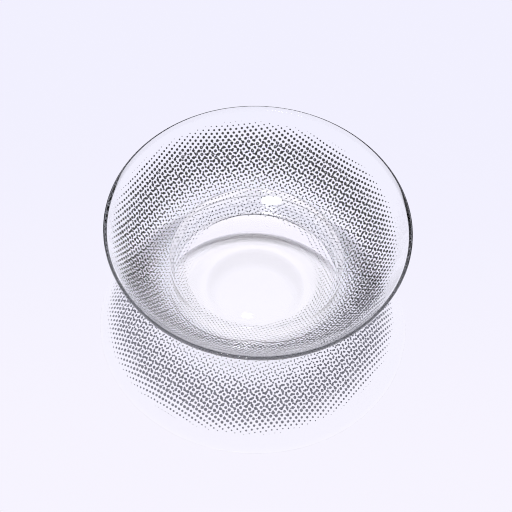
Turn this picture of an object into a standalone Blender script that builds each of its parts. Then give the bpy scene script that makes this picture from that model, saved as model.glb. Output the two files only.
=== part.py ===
# Soft coloured contact lens, lying bowl up on the crown of its front surface.
# The origin is the centre of the rest spot and +Z is the lens axis. Units are metres.
import math

import bmesh
import bpy

# Wall of the lens
LENS_DIAMETER = 14.5e-3  # across the rim
BOWL_DEPTH = 3.85e-3  # bottom of the concave side to the top of the rim
CENTRE_THICKNESS = 0.09e-3  # over the rest spot
CARRIER_THICKNESS = 0.17e-3  # from the optic zone out to the bevel
EDGE_THICKNESS = 0.10e-3  # the rounded rim
EDGE_BEVEL_WIDTH = 0.26e-3  # along the wall, on the front surface
OPTIC_ZONE_DIAMETER = 8.4e-3
REST_SPOT_DIAMETER = 2.0e-3  # the soft crown lies flat where it stands

# Printed iris ring, raised on the front surface
PUPIL_DIAMETER = 6.3e-3  # the clear middle
CLEAR_MARGIN = 0.93e-3  # along the wall, between the last dots and the rim
DENSE_ROW_OFFSET = 1.5e-3  # along the wall, from the last dots in to the biggest ones
INK_HEIGHT = 0.012e-3
DOTS_PER_ROW = 50
BIGGEST_DOT_SHARE = 0.64  # of the cell that a dot sits in
PUPIL_DOT_SHARE = 0.07
MARGIN_DOT_SHARE = 0.12

# Fineness of the surfaces between the rows of dots
RIM_POINTS = 2 * DOTS_PER_ROW
RIM_STEPS = 4
BEVEL_STEPS = 2
OPTIC_STEPS = 4
BOWL_WALL_STEPS = 6
BOWL_FLOOR_STEPS = 4
SHARP_EDGE_ANGLE = math.radians(35)

# The middle of the wall at the rim lies on a sphere that the diameter and the depth give
rim_reach = (LENS_DIAMETER - EDGE_THICKNESS) / 2
rim_angle = 2 * math.atan2(BOWL_DEPTH, rim_reach)
base_curve = rim_reach / math.sin(rim_angle) - EDGE_THICKNESS / 2

# Angles from the lens axis, seen from the centre of the concave sphere
spot_angle = math.asin(REST_SPOT_DIAMETER / 2 / base_curve)
pupil_angle = math.asin(PUPIL_DIAMETER / 2 / base_curve)
optic_angle = math.asin(OPTIC_ZONE_DIAMETER / 2 / base_curve)
bevel_angle = rim_angle - EDGE_BEVEL_WIDTH / base_curve
print_end_angle = rim_angle - CLEAR_MARGIN / base_curve
dense_angle = print_end_angle - DENSE_ROW_OFFSET / base_curve

# The crown would be this thick if it weren't flat where it stands
crown_thickness = CENTRE_THICKNESS + base_curve * (1 - math.cos(spot_angle))


def wall_thickness(angle):
    if angle < optic_angle:
        share = (angle / optic_angle) ** 2
        return crown_thickness + (CARRIER_THICKNESS - crown_thickness) * share
    if angle < bevel_angle:
        return CARRIER_THICKNESS
    share = (angle - bevel_angle) / (rim_angle - bevel_angle)
    return CARRIER_THICKNESS + (EDGE_THICKNESS - CARRIER_THICKNESS) * share


bowl_bottom = (base_curve + wall_thickness(spot_angle)) * math.cos(spot_angle) - base_curve


def section_point(angle, depth):
    # Radius and height of the point this far below the concave surface
    reach = base_curve + depth
    return reach * math.sin(angle), bowl_bottom + base_curve - reach * math.cos(angle)


def rim_point(turn):
    # A point of the half round rim, from the front surface to the concave one
    radius, height = section_point(rim_angle, EDGE_THICKNESS / 2)
    direction = rim_angle - math.pi / 2 + turn
    return (
        radius + EDGE_THICKNESS / 2 * math.cos(direction),
        height + EDGE_THICKNESS / 2 * math.sin(direction),
    )


def dot_share(angle):
    # Part of its cell that a dot fills: small at both borders, biggest at the dense row
    if angle < dense_angle:
        along = (angle - pupil_angle) / (dense_angle - pupil_angle)
        return PUPIL_DOT_SHARE + (BIGGEST_DOT_SHARE - PUPIL_DOT_SHARE) * along**2
    along = (angle - dense_angle) / (print_end_angle - dense_angle)
    return BIGGEST_DOT_SHARE + (MARGIN_DOT_SHARE - BIGGEST_DOT_SHARE) * along**2


def add_ring(mesh, point, count, turn=0.0):
    radius, height = point
    directions = [(i + turn) * 2 * math.pi / count for i in range(count)]
    return [
        mesh.verts.new((radius * math.cos(a), radius * math.sin(a), height))
        for a in directions
    ]


def join_rings(mesh, first, second):
    # Quads between equal rings. A ring with half the points gives a triangle and a quad
    if len(first) > len(second):
        first, second = second, first
    count = len(first)
    for i in range(count):
        j = (i + 1) % count
        if len(second) == count:
            mesh.faces.new((first[i], first[j], second[j], second[i]))
            continue
        mesh.faces.new((first[i], second[2 * i + 1], second[2 * i]))
        mesh.faces.new((first[i], first[j], second[(2 * i + 2) % len(second)], second[2 * i + 1]))


def join_all(mesh, rings):
    for first, second in zip(rings, rings[1:]):
        join_rings(mesh, first, second)


def add_dot_cells(mesh):
    # Rows of points turned half a step each make square cells that stand on a corner.
    # The rows' spacing grows with their radius, so that the cells stay square
    start = math.log(math.tan(pupil_angle / 2))
    stop = math.log(math.tan(print_end_angle / 2))
    row_count = round((stop - start) * DOTS_PER_ROW / math.pi)
    row_count += row_count % 2
    angles = [
        2 * math.atan(math.exp(start + (stop - start) * i / row_count))
        for i in range(row_count + 1)
    ]
    rings = [
        add_ring(mesh, section_point(a, wall_thickness(a)), DOTS_PER_ROW, (i % 2) / 2)
        for i, a in enumerate(angles)
    ]
    cells = []
    for i in range(1, row_count):
        before, row, after = rings[i - 1 : i + 2]
        lead = i % 2
        cells.append(
            [
                mesh.faces.new(
                    (
                        before[(j + lead) % DOTS_PER_ROW],
                        row[(j + 1) % DOTS_PER_ROW],
                        after[(j + lead) % DOTS_PER_ROW],
                        row[j],
                    )
                )
                for j in range(DOTS_PER_ROW)
            ]
        )
    for border, row in ((rings[0], rings[1]), (rings[-1], rings[-2])):
        for j in range(DOTS_PER_ROW):
            mesh.faces.new((border[j], border[(j + 1) % DOTS_PER_ROW], row[j]))
    return rings[0], rings[-1], list(zip(angles[1:], cells))


def raise_dots(mesh, angle, cells):
    # Each cell's middle is drawn in to the size of its dot and lifted by the ink's height
    cell_width = math.sqrt(sum(cell.calc_area() for cell in cells) / len(cells))
    bmesh.ops.inset_individual(
        mesh,
        faces=cells,
        thickness=cell_width / 2 * (1 - math.sqrt(dot_share(angle))),
        depth=INK_HEIGHT,
        use_even_offset=True,
    )
    for cell in cells:
        cell.material_index = 1


def make_material(name, color, roughness, transmission, ior):
    material = bpy.data.materials.new(name)
    material.use_nodes = True
    shader = material.node_tree.nodes["Principled BSDF"]
    shader.inputs["Base Color"].default_value = (*color, 1.0)
    shader.inputs["Metallic"].default_value = 0.0
    shader.inputs["Roughness"].default_value = roughness
    shader.inputs["Transmission Weight"].default_value = transmission
    shader.inputs["IOR"].default_value = ior
    return material


def steps_between(start, stop, count):
    return [start + (stop - start) * i / count for i in range(count + 1)]


def make_lens():
    mesh = bmesh.new()
    pupil_ring, margin_ring, dot_rows = add_dot_cells(mesh)

    # Front surface inside the print, down to the flat rest spot
    front = [pupil_ring] + [
        add_ring(mesh, section_point(a, wall_thickness(a)), DOTS_PER_ROW)
        for a in steps_between(pupil_angle, spot_angle, OPTIC_STEPS)[1:]
    ]
    join_all(mesh, front)
    mesh.faces.new(front[-1])

    # Clear margin, bevel, round rim and the wall of the bowl
    outer = [
        add_ring(mesh, section_point(a, wall_thickness(a)), RIM_POINTS)
        for a in steps_between(bevel_angle, rim_angle, BEVEL_STEPS)
    ]
    outer += [
        add_ring(mesh, rim_point(turn), RIM_POINTS)
        for turn in steps_between(0.0, math.pi, RIM_STEPS)[1:]
    ]
    outer += [
        add_ring(mesh, section_point(a, 0.0), RIM_POINTS)
        for a in steps_between(rim_angle, pupil_angle, BOWL_WALL_STEPS)[1:]
    ]
    floor = [
        add_ring(mesh, section_point(a, 0.0), DOTS_PER_ROW)
        for a in steps_between(pupil_angle, 0.0, BOWL_FLOOR_STEPS + 1)[1:-1]
    ]
    join_all(mesh, [margin_ring, *outer, *floor])

    # Bottom of the bowl
    bottom = mesh.verts.new((0.0, 0.0, bowl_bottom))
    for i, point in enumerate(floor[-1]):
        mesh.faces.new((point, floor[-1][(i + 1) % DOTS_PER_ROW], bottom))

    bmesh.ops.recalc_face_normals(mesh, faces=mesh.faces)
    for angle, cells in dot_rows:
        raise_dots(mesh, angle, cells)

    data = bpy.data.meshes.new("lens")
    mesh.to_mesh(data)
    mesh.free()
    data.shade_smooth()
    data.set_sharp_from_angle(angle=SHARP_EDGE_ANGLE)
    data.materials.append(make_material("clear_hydrogel", (0.88, 0.91, 0.98), 0.05, 0.9, 1.42))
    data.materials.append(make_material("iris_ink", (0.025, 0.026, 0.03), 0.45, 0.0, 1.45))
    lens = bpy.data.objects.new("lens", data)
    bpy.context.scene.collection.objects.link(lens)


for item in list(bpy.data.objects):
    bpy.data.objects.remove(item, do_unlink=True)
make_lens()
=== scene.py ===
from math import atan2, radians, sin

import bpy
import numpy as np
from mathutils import Matrix, Vector


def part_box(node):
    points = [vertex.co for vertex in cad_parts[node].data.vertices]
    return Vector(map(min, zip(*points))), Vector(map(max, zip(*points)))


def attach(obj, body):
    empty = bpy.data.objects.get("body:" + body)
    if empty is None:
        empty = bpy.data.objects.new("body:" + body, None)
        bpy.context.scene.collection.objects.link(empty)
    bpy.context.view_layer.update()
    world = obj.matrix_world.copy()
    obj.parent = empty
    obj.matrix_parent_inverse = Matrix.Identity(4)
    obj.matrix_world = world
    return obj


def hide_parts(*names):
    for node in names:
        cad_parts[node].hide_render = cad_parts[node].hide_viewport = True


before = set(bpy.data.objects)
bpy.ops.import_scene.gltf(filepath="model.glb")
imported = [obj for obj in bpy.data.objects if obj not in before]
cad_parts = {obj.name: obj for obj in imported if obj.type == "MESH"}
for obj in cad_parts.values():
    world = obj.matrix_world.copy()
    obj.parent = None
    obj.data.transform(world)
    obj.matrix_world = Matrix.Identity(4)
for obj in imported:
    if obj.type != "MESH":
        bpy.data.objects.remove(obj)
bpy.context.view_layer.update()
lensLow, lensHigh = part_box("lens")
print("frame loaded")

lensWall = {
    "centreThickness": 0.09e-3,   # metres
    "carrierThickness": 0.17e-3,  # from the optic zone out to the bevel
    "edgeThickness": 0.10e-3,     # the rounded rim
    "bevelWidth": 0.26e-3,        # along the wall
    "bevelSoftness": 0.03e-3,     # how far the bevel's shoulder is rounded
    "opticZone": 8.4e-3,          # across
    "around": 384,                # faces round the axis
    "wallSteps": 72,              # faces from the axis out to the bevel
    "bevelSteps": 20,
    "rimSteps": 12,
}

rimReach = (lensHigh.x - lensLow.x - lensWall["edgeThickness"]) / 2
bowlDepth = lensHigh.z - lensWall["centreThickness"]
rimAngle = 2 * atan2(bowlDepth, rimReach)
bowlRadius = rimReach / sin(rimAngle) - lensWall["edgeThickness"] / 2
bowlCentre = lensWall["centreThickness"] + bowlRadius


def newPiece(name, vertices, triangles, quads, smooth):
    # Triangles come first in the mesh, then quads
    mesh = bpy.data.meshes.new(name)
    corners = np.concatenate([triangles.ravel(), quads.ravel()]).astype(np.int32)
    starts = np.concatenate([
        np.arange(len(triangles)) * 3,
        np.arange(len(quads)) * 4 + triangles.size,
    ]).astype(np.int32)
    mesh.vertices.add(len(vertices))
    mesh.vertices.foreach_set("co", vertices.astype(np.float32).ravel())
    mesh.loops.add(len(corners))
    mesh.loops.foreach_set("vertex_index", corners)
    mesh.polygons.add(len(starts))
    mesh.polygons.foreach_set("loop_start", starts)
    mesh.polygons.foreach_set("use_smooth", np.full(len(starts), smooth))
    mesh.update(calc_edges=True)
    piece = bpy.data.objects.new(name, mesh)
    bpy.context.scene.collection.objects.link(piece)
    return piece


def turns(around):
    return np.arange(around) * 2 * np.pi / around


def turnedPiece(name, radius, height, around):
    # x = r cos a, y = r sin a, z = h: each point of the profile is carried round the axis in even steps
    # of a. Radius and height hold a row for each point, with one column or one for each step. The profile
    # starts and ends on the axis, where one point closes the surface with a fan
    a = turns(around)
    ringRadius = radius[1:-1]
    rings = np.stack([
        ringRadius * np.cos(a),
        ringRadius * np.sin(a),
        np.broadcast_to(height[1:-1], (len(ringRadius), around)),
    ], axis=-1).reshape(-1, 3)
    poles = np.array([[0.0, 0.0, height[0, 0]], [0.0, 0.0, height[-1, 0]]])
    index = np.arange(len(rings)).reshape(-1, around)
    turned = np.roll(index, -1, axis=1)
    quads = np.stack([index[:-1], turned[:-1], turned[1:], index[1:]], axis=-1).reshape(-1, 4)
    firstPole = np.full(around, len(rings))
    fans = np.concatenate([
        np.stack([firstPole, turned[0], index[0]], axis=-1),
        np.stack([firstPole + 1, index[-1], turned[-1]], axis=-1),
    ])
    return newPiece(name, np.concatenate([rings, poles]), fans, quads, True)


def softRamp(x, softness):
    # max(x, 0) with its corner rounded: (x + sqrt(x^2 + s^2)) / 2
    return (x + np.sqrt(x**2 + softness**2)) / 2


def wallThickness(angle):
    # Thin in the middle, growing to the carrier as 1 - (1 - s^2)^2 over the optic zone, less a soft ramp
    # over the bevel
    wall = lensWall
    opticAngle = np.arcsin(wall["opticZone"] / 2 / bowlRadius)
    s = np.clip(angle / opticAngle, 0, 1)
    grown = (wall["carrierThickness"] - wall["centreThickness"]) * (1 - (1 - s**2) ** 2)
    softness = wall["bevelSoftness"] / bowlRadius
    ramp = softRamp(angle - rimAngle + wall["bevelWidth"] / bowlRadius, softness)
    fullRamp = softRamp(wall["bevelWidth"] / bowlRadius, softness)
    return (
        wall["centreThickness"] + grown
        - (wall["carrierThickness"] - wall["edgeThickness"]) * ramp / fullRamp
    )


def wallPoint(angle, depth):
    # Radius and height of the point this far below the bowl's sphere: R sin a, c - R cos a
    reach = bowlRadius + depth
    return reach * np.sin(angle), bowlCentre - reach * np.cos(angle)


def makeLensBody():
    # The section runs from the crown up the front, over the half round rim and down the bowl. Its fine
    # steps start at twice the bevel's width, before the soft shoulder
    wall = lensWall
    bevelStart = rimAngle - 2 * wall["bevelWidth"] / bowlRadius
    outward = np.concatenate([
        np.linspace(0, bevelStart, wall["wallSteps"], endpoint=False),
        np.linspace(bevelStart, rimAngle, wall["bevelSteps"]),
    ])
    front = wallPoint(outward, wallThickness(outward))
    rimMiddle = wallPoint(rimAngle, wall["edgeThickness"] / 2)
    turn = rimAngle - np.pi / 2 + np.linspace(0, np.pi, wall["rimSteps"] + 1)[1:-1]
    rim = (
        rimMiddle[0] + wall["edgeThickness"] / 2 * np.cos(turn),
        rimMiddle[1] + wall["edgeThickness"] / 2 * np.sin(turn),
    )
    inward = np.linspace(rimAngle, 0, wall["wallSteps"] + 1)
    bowl = wallPoint(inward, 0.0)
    radius, height = (np.concatenate(parts)[:, None] for parts in zip(front, rim, bowl))
    return turnedPiece("lensBody", radius, height, wall["around"])


lensBody = makeLensBody()
print("lens wall turned:", len(lensBody.data.polygons), "faces")

printRing = {
    "centre": (-0.153e-3, 0.05e-3),  # metres, a little off the lens axis
    "wrap": 1515.0,                  # 1/m2, how much the flat screen draws in as it wraps the sphere
    "depth": 0.07e-3,                # of the ink, behind the front surface
    "inkThickness": 4e-6,
    "corners": 10,                   # of one dot
    "smallestDot": 9e-6,             # radius
    "gridMargin": 1.2,               # the flat grid's reach, for an outer radius of 1
    "placeSpread": 0.02,             # of the pitch
    "sizeSpread": 0.06,              # of a dot's radius
    "glintShift": 0.25,             # of a dot's radius, along y, for the dot's thin middle; the shift is part of a painted highlight
}

# Tone is the inked share of the surface at each radius, in millimetres from the ring's middle
printScreens = {
    "limbalScreen": {
        "pitch": 0.204e-3,
        "turn": 56.2,                         # degrees
        "tone": {
            4.1: 0.0, 4.4: 0.05, 4.8: 0.13, 5.2: 0.28, 5.6: 0.38, 6.07: 0.42, 6.31: 0.39, 6.46: 0.30,
            6.61: 0.17, 6.71: 0.06, 6.78: 0.0,
        },
        "thinMiddle": (0.064e-3, 0.084e-3),   # dot radii between which the ink's middle thins out
        "seed": 3,
    },
    "irisScreen": {
        "pitch": 0.179e-3,
        "turn": 25.4,
        "tone": {
            3.12: 0.0, 3.2: 0.08, 3.5: 0.09, 4.0: 0.09, 4.4: 0.12, 4.9: 0.21, 5.4: 0.26, 5.9: 0.21,
            6.15: 0.12, 6.3: 0.0,
        },
        "thinMiddle": (0.038e-3, 0.054e-3),
        "seed": 7,
    },
}


def screenPoints(screen):
    # A square grid, turned, with a little spread, is wrapped to the plan radius r = p (1 - k p^2), where
    # p is the flat radius. A dot of radius pitch * sqrt(tone / pi) stands on each point that the tone
    # reaches
    ring = printRing
    chance = np.random.default_rng(screen["seed"])
    toneRadius = np.array(list(screen["tone"])) / 1000  # from millimetres
    reach = int(toneRadius[-1] * ring["gridMargin"] / screen["pitch"])
    grid = np.mgrid[-reach:reach + 1, -reach:reach + 1].reshape(2, -1).T.astype(float)
    grid += chance.normal(0, ring["placeSpread"], grid.shape)
    turn = radians(screen["turn"])
    rotation = np.array([[np.cos(turn), np.sin(turn)], [-np.sin(turn), np.cos(turn)]])
    flat = screen["pitch"] * grid @ rotation
    flatRadius = np.linalg.norm(flat, axis=1)
    plan = flat * (1 - ring["wrap"] * flatRadius**2)[:, None]
    tone = np.interp(np.linalg.norm(plan, axis=1), toneRadius, list(screen["tone"].values()))
    dotRadius = screen["pitch"] * np.sqrt(tone / np.pi)
    dotRadius *= 1 + chance.normal(0, ring["sizeSpread"], len(dotRadius))
    inked = dotRadius > ring["smallestDot"]
    return plan[inked] + ring["centre"], dotRadius[inked]


def setAttribute(piece, name, domain, values):
    attribute = piece.data.attributes.new(name, "FLOAT", domain)
    attribute.data.foreach_set("value", values.astype(np.float32).ravel())


def markDots(piece, dotRadius, thinMiddle):
    # Thinness is 0 at a dot's corners and 3 s^2 - 2 s^3 at its middles, where s grows from 0 to 1 with
    # the dot's radius. Each dot's faces are its bowl side first, then its outward side
    count = printRing["corners"]
    low, high = thinMiddle
    s = np.clip((dotRadius - low) / (high - low), 0, 1)
    thin = np.zeros((len(dotRadius), count + 2))
    thin[:, count:] = (s * s * (3 - 2 * s))[:, None]
    setAttribute(piece, "thinInk", "POINT", thin)
    setAttribute(piece, "outwardSide", "FACE", np.tile(np.repeat([0.0, 1.0], count), len(dotRadius)))


def makeScreen(name, screen):
    # Each dot is a thin closed button: a ring of corners p + a (u cos t + v sin t) in the plane that
    # touches the ink's surface at p, and a point above and below its middle
    ring = printRing
    plan, dotRadius = screenPoints(screen)
    angle = np.arcsin(np.linalg.norm(plan, axis=1) / (bowlRadius + lensWall["carrierThickness"]))
    reach = (bowlRadius + wallThickness(angle) - ring["depth"])[:, None]
    outward = np.column_stack([plan, -np.sqrt(reach[:, 0] ** 2 - (plan**2).sum(axis=1))]) / reach
    place = outward * reach + [0, 0, bowlCentre]
    across = np.column_stack([-outward[:, 1], outward[:, 0], np.zeros(len(outward))])
    across /= np.linalg.norm(across, axis=1)[:, None]
    along = np.cross(outward, across)
    count = ring["corners"]
    t = turns(count)[:, None]
    spokes = along[:, None] * np.cos(t) + across[:, None] * np.sin(t)
    corners = place[:, None] + dotRadius[:, None, None] * spokes
    # Painted highlight: the bowl side's middle point, where the ink is thin, is shifted along +y
    away = along * along[:, 1:2] + across * across[:, 1:2]
    middle = place + away * (ring["glintShift"] * dotRadius)[:, None]
    lift = outward * ring["inkThickness"] / 2
    vertices = np.concatenate([corners, (middle - lift)[:, None], (place + lift)[:, None]], axis=1)

    k = np.arange(count)
    after = np.roll(k, -1)
    top = np.stack([np.full(count, count), k, after], axis=-1)
    bottom = np.stack([np.full(count, count + 1), after, k], axis=-1)
    button = np.concatenate([top, bottom])
    faces = (button + np.arange(len(plan))[:, None, None] * (count + 2)).reshape(-1, 3)
    piece = newPiece(name, vertices.reshape(-1, 3), faces, np.zeros((0, 4)), False)
    markDots(piece, dotRadius, screen["thinMiddle"])
    return piece, len(plan)


screens = {}
for screenName, screen in printScreens.items():
    screens[screenName], dotCount = makeScreen(screenName, screen)
    print(screenName, "printed:", dotCount, "dots")


def newMaterial(name):
    material = bpy.data.materials.new(name)
    material.use_nodes = True
    return material, material.node_tree, material.node_tree.nodes["Principled BSDF"]


def smoothMask(tree, value, ends):
    # From 0 to 1 between the two ends
    mask = tree.nodes.new("ShaderNodeMapRange")
    mask.interpolation_type = "SMOOTHSTEP"
    mask.inputs["From Min"].default_value, mask.inputs["From Max"].default_value = ends
    tree.links.new(value, mask.inputs["Value"])
    return mask.outputs["Result"]


def blend(tree, mask, first, second):
    # Each of the two is a colour or a socket
    mix = tree.nodes.new("ShaderNodeMix")
    mix.data_type = "RGBA"
    tree.links.new(mask, mix.inputs["Factor"])
    for value, socket in ((first, mix.inputs["A"]), (second, mix.inputs["B"])):
        if isinstance(value, tuple):
            socket.default_value = value
        else:
            tree.links.new(value, socket)
    return mix.outputs["Result"]


def calculate(tree, operation, *values):
    # Each value is a number or a socket
    node = tree.nodes.new("ShaderNodeMath")
    node.operation = operation
    for value, socket in zip(values, node.inputs):
        if isinstance(value, float):
            socket.default_value = value
        else:
            tree.links.new(value, socket)
    return node.outputs["Value"]


gelFinish = {
    "color": (0.99, 0.995, 1.0, 1.0),
    "roughness": 0.0,
    "ior": 1.42,
    "rippleScale": 900.0,     # per metre
    "rippleHeight": 0.4e-6,   # metres
}


def makeGel():
    # Wet gel: clear, with a faint unevenness that bends what is seen through it
    material, tree, shader = newMaterial("wetHydrogel")
    shader.inputs["Base Color"].default_value = gelFinish["color"]
    shader.inputs["Roughness"].default_value = gelFinish["roughness"]
    shader.inputs["IOR"].default_value = gelFinish["ior"]
    shader.inputs["Transmission Weight"].default_value = 1.0
    place = tree.nodes.new("ShaderNodeTexCoord")
    noise = tree.nodes.new("ShaderNodeTexNoise")
    noise.inputs["Scale"].default_value = gelFinish["rippleScale"]
    bump = tree.nodes.new("ShaderNodeBump")
    bump.inputs["Distance"].default_value = gelFinish["rippleHeight"]
    tree.links.new(place.outputs["Object"], noise.inputs["Vector"])
    tree.links.new(noise.outputs["Fac"], bump.inputs["Height"])
    tree.links.new(bump.outputs["Normal"], shader.inputs["Normal"])
    return material


inkFinish = {
    # The thin colour is partly thin ink and partly a painted highlight of the ink's gloss, shown face on
    "limbalScreen": {"full": (0.004, 0.004, 0.005, 1.0), "thin": (0.6, 0.6, 0.64, 1.0), "grain": 0.2},
    "irisScreen": {"full": (0.006, 0.006, 0.008, 1.0), "thin": (0.42, 0.42, 0.46, 1.0), "grain": 0.3},
    "grainScale": 60000.0,                # per metre
    "grainDetail": 2.0,
    "roughness": (0.35, 0.65),            # from grain to grain
    "thinFrom": (0.45, 0.75),             # of the way in to a dot's middle
    "glintSeen": (0.15, 0.03),             # painted highlight: the thin middle shows only face on, none to all of it, by one less the cosine of the angle
    "outward": (0.37, 0.375, 0.41, 1.0),  # painted light: the side that faces away from the eye, painted a lighter grey
    "glancing": (0.42, 0.43, 0.47, 1.0),  # painted reflection: seen along the wall, the ink is painted lighter for the gloss of the gel that veils it
    "glancingFrom": (0.258, 0.288),       # one less the cosine of the angle
}


def makeInkGroup():
    # Colour between full and thin ink by the given thinness, which also carries the painted highlight,
    # with grain from pigment that lies unevenly
    group = bpy.data.node_groups.new("pigmentFilm", "ShaderNodeTree")
    for socketName, kind in (
        ("Full Color", "NodeSocketColor"), ("Thin Color", "NodeSocketColor"),
        ("Thinness", "NodeSocketFloat"), ("Grain", "NodeSocketFloat"), ("Grain Scale", "NodeSocketFloat"),
    ):
        group.interface.new_socket(socketName, in_out="INPUT", socket_type=kind)
    for socketName, kind in (("Color", "NodeSocketColor"), ("Roughness", "NodeSocketFloat")):
        group.interface.new_socket(socketName, in_out="OUTPUT", socket_type=kind)
    nodes = group.nodes
    links = group.links
    given = nodes.new("NodeGroupInput")
    result = nodes.new("NodeGroupOutput")
    place = nodes.new("ShaderNodeTexCoord")
    noise = nodes.new("ShaderNodeTexNoise")
    noise.inputs["Detail"].default_value = inkFinish["grainDetail"]
    links.new(place.outputs["Object"], noise.inputs["Vector"])
    links.new(given.outputs["Grain Scale"], noise.inputs["Scale"])
    grain = calculate(group, "SUBTRACT", noise.outputs["Fac"], 0.5)
    uneven = calculate(group, "MULTIPLY_ADD", grain, given.outputs["Grain"], given.outputs["Thinness"])
    color = blend(group, uneven, given.outputs["Full Color"], given.outputs["Thin Color"])
    links.new(color, result.inputs["Color"])
    matt = nodes.new("ShaderNodeMapRange")
    matt.inputs["To Min"].default_value, matt.inputs["To Max"].default_value = inkFinish["roughness"]
    links.new(noise.outputs["Fac"], matt.inputs["Value"])
    links.new(matt.outputs["Result"], result.inputs["Roughness"])
    return group


def makeInk(name, group):
    material, tree, shader = newMaterial(name + "Ink")
    film = tree.nodes.new("ShaderNodeGroup")
    film.node_tree = group
    film.inputs["Full Color"].default_value = inkFinish[name]["full"]
    film.inputs["Thin Color"].default_value = inkFinish[name]["thin"]
    film.inputs["Grain"].default_value = inkFinish[name]["grain"]
    film.inputs["Grain Scale"].default_value = inkFinish["grainScale"]
    thinInk = tree.nodes.new("ShaderNodeAttribute")
    thinInk.attribute_name = "thinInk"
    thin = smoothMask(tree, thinInk.outputs["Fac"], inkFinish["thinFrom"])
    # Painted highlight: the dot's lighter middle shows only where the dot is seen face on
    facing = tree.nodes.new("ShaderNodeLayerWeight")
    faceOn = smoothMask(tree, facing.outputs["Facing"], inkFinish["glintSeen"])
    tree.links.new(calculate(tree, "MULTIPLY", thin, faceOn), film.inputs["Thinness"])
    outwardSide = tree.nodes.new("ShaderNodeAttribute")
    outwardSide.attribute_name = "outwardSide"
    # Painted light: the dots' outward side is a lighter grey than their ink
    sides = blend(tree, outwardSide.outputs["Fac"], film.outputs["Color"], inkFinish["outward"])
    # Painted reflection: the ink turns lighter where it is seen along the wall
    glancing = smoothMask(tree, facing.outputs["Facing"], inkFinish["glancingFrom"])
    tree.links.new(blend(tree, glancing, sides, inkFinish["glancing"]), shader.inputs["Base Color"])
    tree.links.new(film.outputs["Roughness"], shader.inputs["Roughness"])
    return material


lensBody.data.materials.append(makeGel())
inkGroup = makeInkGroup()
for screenName, piece in screens.items():
    piece.data.materials.append(makeInk(screenName, inkGroup))
for piece in (lensBody, *screens.values()):
    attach(piece, "root")
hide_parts("lens")
print("materials made")

table = {
    "size": 1.6,                       # metres
    "drop": 0.03e-3,                   # below the lens, the depth of the water that it stands on
    # Painted shade: the plate is darker far off than near
    "near": (0.950, 0.941, 0.960, 1.0),
    "far": (0.905, 0.908, 0.958, 1.0),
    "fade": (-0.011, 0.011),           # along y, near to far, painted shade
    "pooledLight": (1.0, 0.985, 0.985, 1.0),   # painted light: the plate lighter under the water
    "pooledLightReach": (3.3e-3, 4.3e-3),      # from the axis, painted light to none
    "shadeLine": (0.2, 0.2, 0.21, 1.0),     # painted shade: a thin dark line under the water's far side
    "lineReach": 3.70e-3,              # from the axis
    "lineSides": (0.01e-3, 0.04e-3),   # from the line's middle, dark to clear
    "lineStart": (2.2e-3, 3.4e-3),     # along y, clear to dark
    "roughness": 0.0,
}


def makeTable():
    # A polished plate, its colour painted with light and shade: painted shade makes it mirror a little
    # less far off than near, painted light makes it mirror most under the water, and a thin painted shade
    # line lies across the far side
    half = table["size"] / 2
    corners = np.array([[-1, -1], [1, -1], [1, 1], [-1, 1]]) * half
    vertices = np.column_stack([corners, np.full(4, -table["drop"])])
    piece = newPiece("table", vertices, np.zeros((0, 3)), np.array([[0, 1, 2, 3]]), False)
    material, tree, shader = newMaterial("palePolish")
    shader.inputs["Metallic"].default_value = 1.0
    shader.inputs["Roughness"].default_value = table["roughness"]
    place = tree.nodes.new("ShaderNodeTexCoord")
    parts = tree.nodes.new("ShaderNodeSeparateXYZ")
    tree.links.new(place.outputs["Object"], parts.inputs[0])
    reach = tree.nodes.new("ShaderNodeVectorMath")
    reach.operation = "LENGTH"
    tree.links.new(place.outputs["Object"], reach.inputs[0])
    # Painted shade: darker far off than near
    shadedFade = blend(tree, smoothMask(tree, parts.outputs["Y"], table["fade"]), table["near"], table["far"])
    # Painted light: the plate is lighter under the water
    litAndShadedPolish = blend(tree, smoothMask(tree, reach.outputs["Value"], table["pooledLightReach"]), table["pooledLight"], shadedFade)
    # Painted shade: a thin dark line on the plate under the water's far side
    lineSide = smoothMask(tree, parts.outputs["Y"], table["lineStart"])
    shadeLine = blend(tree, lineSide, table["pooledLight"], table["shadeLine"])
    past = calculate(tree, "SUBTRACT", reach.outputs["Value"], table["lineReach"])
    beside = smoothMask(tree, calculate(tree, "ABSOLUTE", past), table["lineSides"])
    tree.links.new(blend(tree, beside, shadeLine, litAndShadedPolish), shader.inputs["Base Color"])
    piece.data.materials.append(material)


waterFilm = {
    "far": 4.47e-3,           # metres, how far out the water touches the lens
    "near": 3.30e-3,
    "footShift": -0.17e-3,    # of the far side's foot, against its top
    "footDepth": 0.01e-3,     # below the table, so that no gap shows
    "gap": 3e-6,              # between the water and the lens, so that no faces coincide
    "topSteps": 39,
    "sideSteps": 23,
    "color": (1.0, 1.0, 1.0, 1.0),
    "ior": 1.333,
    "topRoughness": 0.0,
    "sideRoughness": 0.08,
}


def makeWaterMaterial(name, roughness):
    material, tree, shader = newMaterial(name)
    shader.inputs["Base Color"].default_value = waterFilm["color"]
    shader.inputs["Roughness"].default_value = roughness
    shader.inputs["IOR"].default_value = waterFilm["ior"]
    shader.inputs["Transmission Weight"].default_value = 1.0
    return material


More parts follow.
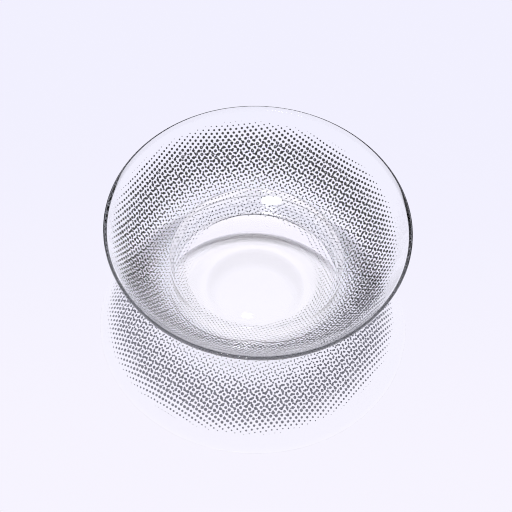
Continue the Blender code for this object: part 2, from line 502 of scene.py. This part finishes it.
def makeWaterFilm():
    # Contact with the lens is at radius near + (far - near) f, where f = sqrt((1 + sin a) / 2) is the
    # farness. The top follows the lens. The side runs straight down from there to just below the table,
    # and its foot is shifted by footShift f^2
    film = waterFilm
    farness = np.sqrt((1 + np.sin(turns(lensWall["around"]))) / 2)
    contact = film["near"] + (film["far"] - film["near"]) * farness
    share = np.linspace(0, 1, film["topSteps"] + 1)[:, None]
    angles = np.arcsin(contact / (bowlRadius + lensWall["carrierThickness"])) * share
    topRadius, topHeight = wallPoint(angles, wallThickness(angles) + film["gap"])
    t = np.linspace(0, 1, film["sideSteps"] + 1)[1:, None]
    low = -table["drop"] - film["footDepth"]
    sideRadius = topRadius[-1] + film["footShift"] * farness**2 * t
    sideHeight = topHeight[-1] + (low - topHeight[-1]) * t
    radius = np.concatenate([topRadius, sideRadius, np.zeros((1, len(contact)))])
    height = np.concatenate([topHeight, sideHeight, np.full((1, len(contact)), low)])
    piece = turnedPiece("waterFilm", radius[::-1], height[::-1], lensWall["around"])

    piece.data.materials.append(makeWaterMaterial("water", film["topRoughness"]))
    piece.data.materials.append(makeWaterMaterial("waterSide", film["sideRoughness"]))
    # Two fans come first in the mesh, then the side's rows from the foot up, then the top's
    quadRows = np.zeros((film["topSteps"] + film["sideSteps"] - 1, len(contact)))
    quadRows[:film["sideSteps"]] = 1
    index = np.concatenate([np.zeros(2 * len(contact)), quadRows.ravel()])
    piece.data.polygons.foreach_set("material_index", index.astype(np.int32))


studio = {
    "fill": (0.975, 0.96, 1.04, 1.0),      # overhead
    "around": (1.05, 1.03, 1.11, 1.0),     # down to the horizon
    "aroundHeight": (0.60, 0.795),         # sines of the height, around to fill
    "strength": 1.0,
}


def makeWorld():
    # A room with pale walls, a little lighter than its ceiling
    world = bpy.data.worlds.new("studio")
    bpy.context.scene.world = world
    world.use_nodes = True
    tree = world.node_tree
    place = tree.nodes.new("ShaderNodeTexCoord")
    parts = tree.nodes.new("ShaderNodeSeparateXYZ")
    tree.links.new(place.outputs["Generated"], parts.inputs[0])
    raised = smoothMask(tree, parts.outputs["Z"], studio["aroundHeight"])
    background = tree.nodes["Background"]
    background.inputs["Strength"].default_value = studio["strength"]
    tree.links.new(blend(tree, raised, studio["around"], studio["fill"]), background.inputs["Color"])


overheadLamp = {
    "towards": (-0.12, -0.285, 0.93),
    "distance": 0.6,             # metres
    "size": (0.13, 0.055),
    "power": 0.5,                # watts
}


def makeLamp():
    # The long side of the lamp lies along x
    lamp = bpy.data.lights.new("overheadLamp", "AREA")
    lamp.shape = "ELLIPSE"
    lamp.size, lamp.size_y = overheadLamp["size"]
    lamp.energy = overheadLamp["power"]
    holder = bpy.data.objects.new("overheadLamp", lamp)
    towards = Vector(overheadLamp["towards"]).normalized()
    holder.location = towards * overheadLamp["distance"]
    up = towards.cross(Vector((1, 0, 0))).normalized()
    across = up.cross(towards)
    holder.rotation_euler = Matrix((across, up, towards)).transposed().to_euler()
    bpy.context.scene.collection.objects.link(holder)


photoView = {
    "elevation": 54.688,                  # degrees
    "roll": 3.046,
    "aim": (-0.033e-3, 0.0, 1.874e-3),    # metres, the point in the middle of the frame
    "distance": 0.40844,
    "focalLength": 611.83,                # millimetres, on a 36 mm sensor
    "clip": (0.01, 10.0),                 # metres
    "sharpness": 1.0,                     # pixels that each sample spreads over
}


def makeCamera():
    camera = bpy.data.cameras.new("photoView")
    camera.lens = photoView["focalLength"]
    camera.clip_start, camera.clip_end = photoView["clip"]
    holder = bpy.data.objects.new("photoView", camera)
    tilt = Matrix.Rotation(radians(90 - photoView["elevation"]), 4, "X")
    roll = Matrix.Rotation(radians(photoView["roll"]), 4, "Z")
    back = Matrix.Translation((0, 0, photoView["distance"]))
    holder.matrix_world = Matrix.Translation(photoView["aim"]) @ tilt @ roll @ back
    bpy.context.scene.collection.objects.link(holder)
    bpy.context.scene.camera = holder


makeTable()
makeWaterFilm()
makeWorld()
makeLamp()
makeCamera()
bpy.context.scene.view_settings.view_transform = "Standard"
bpy.context.scene.cycles.filter_width = photoView["sharpness"]
print("studio and camera set")
